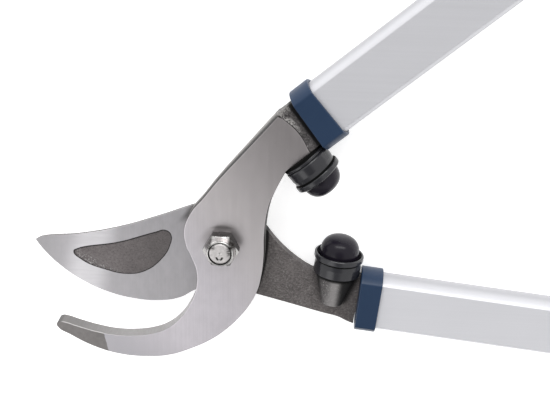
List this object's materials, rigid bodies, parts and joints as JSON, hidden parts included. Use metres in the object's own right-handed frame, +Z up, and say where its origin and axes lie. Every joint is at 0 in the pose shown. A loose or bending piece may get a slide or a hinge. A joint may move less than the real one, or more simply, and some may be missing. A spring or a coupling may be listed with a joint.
{
  "type": "bypass lopper",
  "caption": "Long handled bypass lopper: a ground blade that passes a hooked jaw, with bumpers between two flat sided tube handles.",
  "frame": {"origin": "on the pivot axis, at the flat outer face of the pivot bolt's head", "axes": "+Z up from the surface the tool lies on, along the pivot axis towards the nut; +X from the pivot along the handles, away from the jaws"},
  "size_m": [0.7104, 0.5316, 0.0329],
  "materials": {
    "forged_steel": "ground faces, dark forged tang and tip",
    "blade_steel": "ground faces, dark forged tang and pocket",
    "aluminium": "satin anodised",
    "navy_plastic": "moulded, fine satin",
    "black_plastic": "moulded, satin",
    "black_rubber": "smooth",
    "grip_rubber": "soft, textured",
    "zinc_steel": "bright zinc plate",
    "bronze": "sintered",
    "nylon": "plain"
  },
  "bodies": {
    "hook_side": {"hook_jaw": "forged_steel", "pivot_bolt": "zinc_steel", "pivot_washer": "zinc_steel", "pivot_nut": "zinc_steel", "pivot_nut_insert": "nylon", "hook_collar": "navy_plastic", "hook_handle_tube": "aluminium", "hook_tang_sleeve": "black_plastic", "hook_tang_pin": "zinc_steel", "hook_bumper_cup": "black_plastic", "hook_bumper_rubber": "black_rubber", "hook_bumper_screw": "zinc_steel", "hook_grip": "grip_rubber", "hook_grip_cap": "navy_plastic"},
    "blade_side": {"cutting_blade": "blade_steel", "pivot_bush": "bronze", "blade_collar": "navy_plastic", "blade_handle_tube": "aluminium", "blade_tang_sleeve": "black_plastic", "blade_tang_pin": "zinc_steel", "blade_bumper_cup": "black_plastic", "blade_bumper_rubber": "black_rubber", "blade_bumper_screw": "zinc_steel", "blade_grip": "grip_rubber", "blade_grip_cap": "navy_plastic"}
  },
  "joints": [
    {"name": "jaw_pivot", "type": "hinge", "parent": "hook_side", "child": "blade_side", "pos_m": [0, 0, 0.0141], "axis": [0, 0, 1], "range_deg": [-45, 23.3]}
  ]
}
